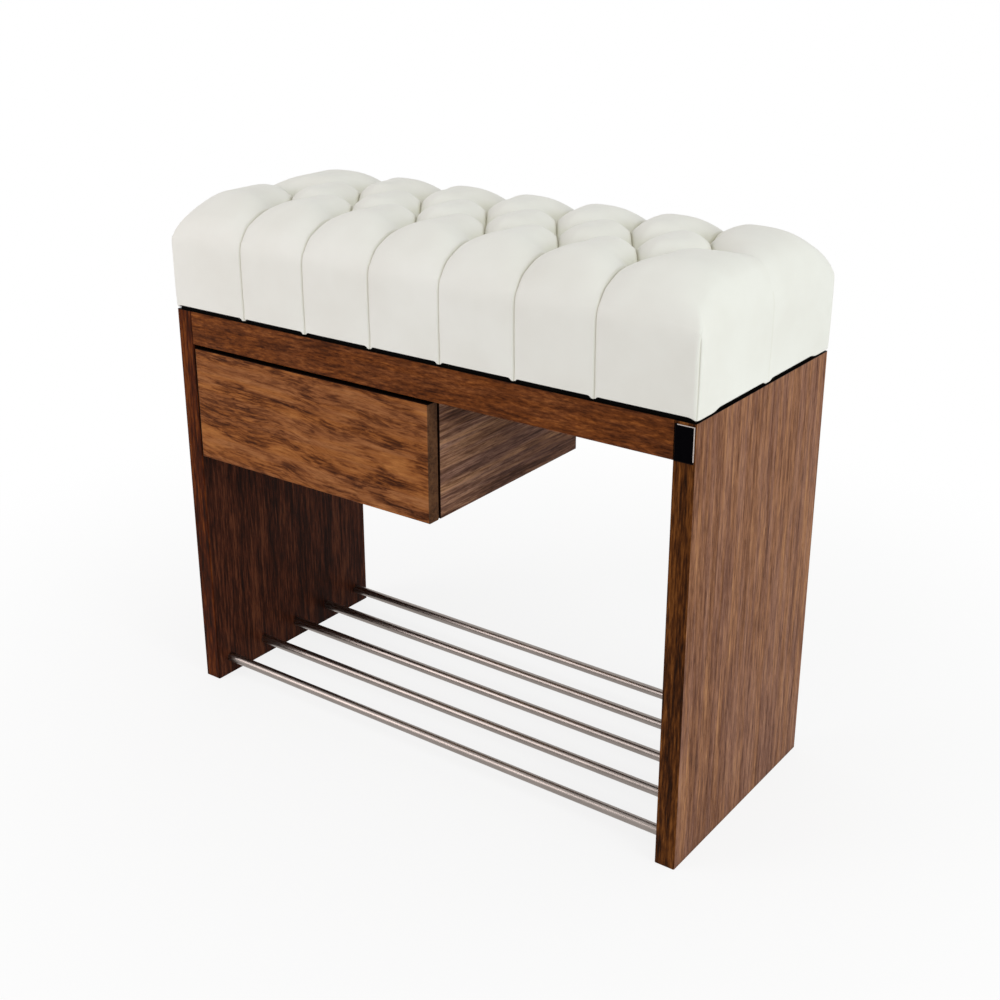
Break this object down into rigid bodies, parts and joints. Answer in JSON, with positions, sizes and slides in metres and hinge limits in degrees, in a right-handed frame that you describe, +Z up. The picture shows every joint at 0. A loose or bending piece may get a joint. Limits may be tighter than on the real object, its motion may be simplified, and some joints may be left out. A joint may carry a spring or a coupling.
{
  "type": "shoe storage bench",
  "caption": "Low wood bench with a steel-tube shoe rack, a drawer on ball-bearing runners beside an open bay, and a deep-tufted seat cushion.",
  "frame": {"origin": "middle of the bench's footprint, on the floor", "axes": "+X along the seat, with the drawer at its -X end; the drawer opens towards -Y; +Z up"},
  "size_m": [0.604, 0.254, 0.5426],
  "materials": {
    "stained_wood": "satin",
    "drawer_wood": "satin",
    "plywood": "matte",
    "beech": "matte",
    "stainless_tube": "brushed",
    "zinc_steel": "satin",
    "runner_steel": "satin",
    "cage_steel": "satin",
    "plate_metal": "satin",
    "plate_inlay": "gloss",
    "leatherette": "semi-matte",
    "twine": "matte",
    "bumper_rubber": "satin"
  },
  "bodies": {
    "carcase": {"side_panel_left": "stained_wood", "side_panel_right": "stained_wood", "front_rail": "stained_wood", "back_rail": "stained_wood", "top_board": "stained_wood", "partition": "stained_wood", "case_back": "stained_wood", "frame_dowels": "beech", "partition_screws": "zinc_steel", "front_bumpers": "bumper_rubber", "rack_tube_1": "stainless_tube", "rack_tube_2": "stainless_tube", "rack_tube_3": "stainless_tube", "rack_tube_4": "stainless_tube", "rack_tube_5": "stainless_tube", "corner_plate": "plate_metal", "corner_plate_inlay": "plate_inlay", "cover_hem": "leatherette", "seat_base": "plywood", "cushion": "leatherette", "tuft_twines": "twine", "tuft_washers": "zinc_steel", "seat_screws": "zinc_steel", "runner_left_case": "runner_steel", "runner_right_case": "runner_steel", "case_runner_screws": "zinc_steel"},
    "drawer": {"drawer_front": "drawer_wood", "drawer_side_left": "plywood", "drawer_side_right": "plywood", "drawer_back": "plywood", "drawer_bottom": "plywood", "drawer_dowels": "beech", "drawer_bottom_screws": "zinc_steel", "runner_left_slide": "runner_steel", "runner_right_slide": "runner_steel", "slide_runner_screws": "zinc_steel"},
    "runner_middles": {"runner_left_middle": "runner_steel", "runner_right_middle": "runner_steel"},
    "outer_cages": {"cage_left_outer": "cage_steel", "cage_right_outer": "cage_steel"},
    "inner_cages": {"cage_left_inner": "cage_steel", "cage_right_inner": "cage_steel"}
  },
  "joints": [
    {"name": "drawer_slide", "type": "slide", "parent": "carcase", "child": "drawer", "axis": [0, -1, 0], "range_m": [0, 0.18]},
    {"name": "middle_slide", "type": "slide", "parent": "carcase", "child": "runner_middles", "axis": [0, -1, 0], "range_m": [0, 0.09]},
    {"name": "outer_cage_roll", "type": "slide", "parent": "carcase", "child": "outer_cages", "axis": [0, -1, 0], "range_m": [0, 0.045]},
    {"name": "inner_cage_roll", "type": "slide", "parent": "carcase", "child": "inner_cages", "axis": [0, -1, 0], "range_m": [0, 0.135]}
  ],
  "couplings": [
    {"joint": "middle_slide", "follows": "drawer_slide", "ratio": 0.5},
    {"joint": "outer_cage_roll", "follows": "drawer_slide", "ratio": 0.25},
    {"joint": "inner_cage_roll", "follows": "drawer_slide", "ratio": 0.75}
  ]
}
